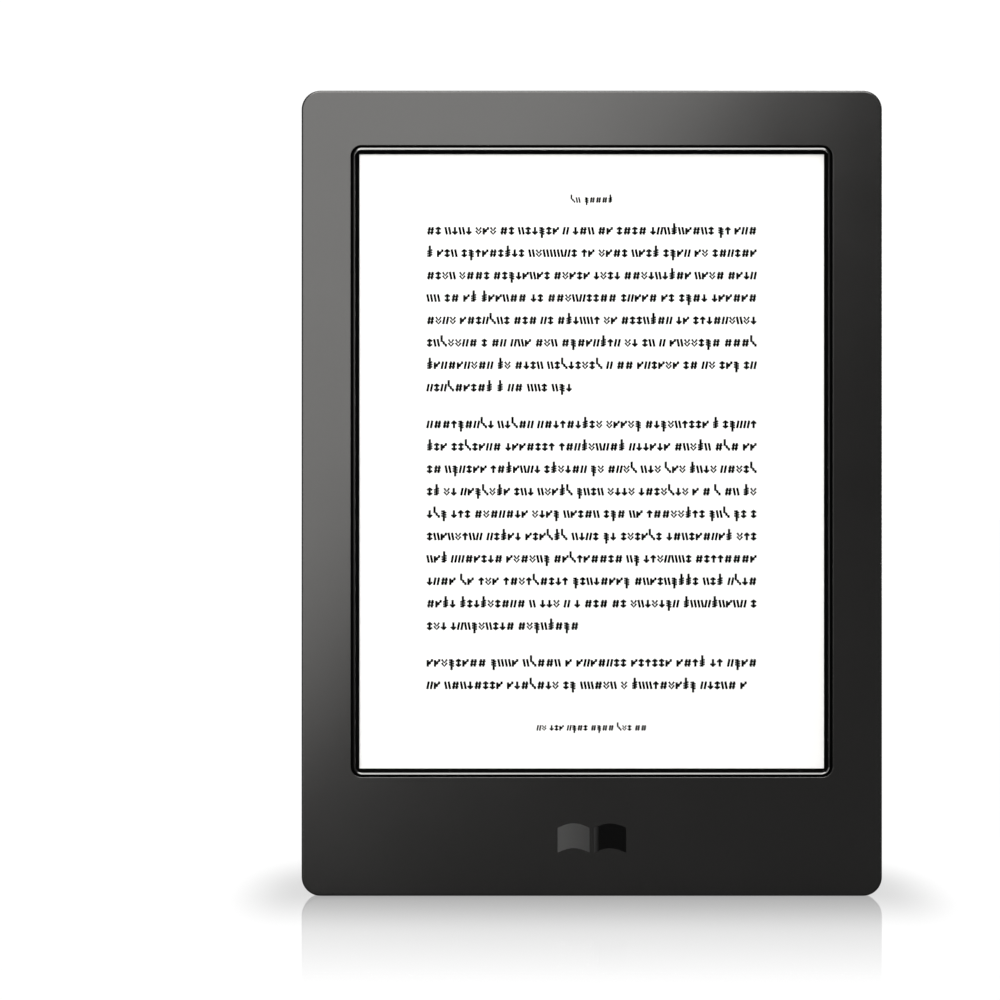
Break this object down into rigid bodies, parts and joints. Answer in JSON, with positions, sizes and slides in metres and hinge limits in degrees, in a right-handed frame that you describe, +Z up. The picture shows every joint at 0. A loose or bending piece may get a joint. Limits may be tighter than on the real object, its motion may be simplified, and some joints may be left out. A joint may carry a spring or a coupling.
{
  "type": "e-reader",
  "caption": "Slim upright e-reader with an e-paper screen set in a wide bezel, a faceted back, a top power button and a hinged port door in its bottom edge.",
  "frame": {"origin": "middle of the bottom edge, at half the width and half the depth", "axes": "+X to the right seen from the screen side, +Y from the screen to the back, +Z up the page"},
  "size_m": [0.129, 0.0098, 0.1793],
  "materials": {
    "bezel_plastic": "matte",
    "emblem_film": "gloss",
    "back_plastic": "grained matte",
    "window_plastic": "gloss",
    "seal_rubber": "matte",
    "chassis_alloy": "satin",
    "screw_steel": "satin",
    "circuit_board": "satin",
    "chip_plastic": "matte",
    "flex_film": "satin",
    "guide_acrylic": "gloss",
    "led_phosphor": "satin",
    "e_paper": "matte",
    "display_glass": "gloss",
    "foam_tape": "matte",
    "button_plastic": "matte",
    "door_plastic": "matte",
    "tin_plate": "satin",
    "gold_contact": "satin",
    "socket_plastic": "matte",
    "white_plastic": "matte",
    "ferrite": "matte",
    "pouch_foil": "satin",
    "wire_sleeve": "matte",
    "coax_sleeve": "matte"
  },
  "bodies": {
    "housing": {"front_bezel": "bezel_plastic", "emblem_inlay": "emblem_film", "rear_cover": "back_plastic", "perimeter_seal": "seal_rubber", "chassis": "chassis_alloy", "chassis_screws": "screw_steel", "infrared_window_frame": "window_plastic", "touch_board": "circuit_board", "infrared_emitters": "chip_plastic", "infrared_receivers": "chip_plastic", "touch_flex": "flex_film", "front_light_guide": "guide_acrylic", "front_light_leds": "led_phosphor", "front_light_flex": "flex_film", "e_paper_film": "e_paper", "backplane_glass": "display_glass", "display_drivers": "chip_plastic", "display_flex": "flex_film", "display_tape": "foam_tape", "power_switch": "tin_plate", "power_board": "circuit_board", "power_flex": "flex_film", "status_led": "led_phosphor", "status_light_pipe": "guide_acrylic", "port_door_pin": "screw_steel", "port_frame": "socket_plastic", "usb_receptacle": "tin_plate", "usb_tongue": "socket_plastic", "usb_contacts": "gold_contact", "card_socket": "tin_plate", "reset_switch": "socket_plastic", "main_board": "circuit_board", "board_screws": "screw_steel", "processor": "chip_plastic", "memory_chips": "chip_plastic", "power_chip": "chip_plastic", "coils": "ferrite", "small_parts": "ferrite", "shield_can": "tin_plate", "wireless_module": "circuit_board", "wireless_antenna": "flex_film", "antenna_cable": "coax_sleeve", "board_connectors": "white_plastic", "inner_card_socket": "tin_plate", "inner_card": "chip_plastic", "cover_sensor": "chip_plastic", "battery_cell": "pouch_foil", "battery_tape": "foam_tape", "battery_leads": "wire_sleeve", "battery_plug": "white_plastic", "battery_header": "white_plastic"},
    "power_button": {"power_button": "button_plastic", "power_button_seal": "seal_rubber"},
    "port_door": {"port_door": "door_plastic", "port_door_seal": "seal_rubber"},
    "card_slider": {"card_slider": "socket_plastic"},
    "reset_plunger": {"reset_plunger": "white_plastic"}
  },
  "joints": [
    {"name": "power_button_press", "type": "slide", "parent": "housing", "child": "power_button", "axis": [0, 0, -1], "range_m": [0, 0.0004], "stiffness_N_per_m": 4000},
    {"name": "port_door_hinge", "type": "hinge", "parent": "housing", "child": "port_door", "pos_m": [0, 0.0022, 0.00075], "axis": [1, 0, 0], "range_deg": [0, 90]},
    {"name": "card_eject_slide", "type": "slide", "parent": "housing", "child": "card_slider", "axis": [0, 0, 1], "range_m": [0, 0.0012], "stiffness_N_per_m": 500},
    {"name": "reset_press", "type": "slide", "parent": "housing", "child": "reset_plunger", "axis": [0, 0, 1], "range_m": [0, 0.00025], "stiffness_N_per_m": 3000}
  ]
}
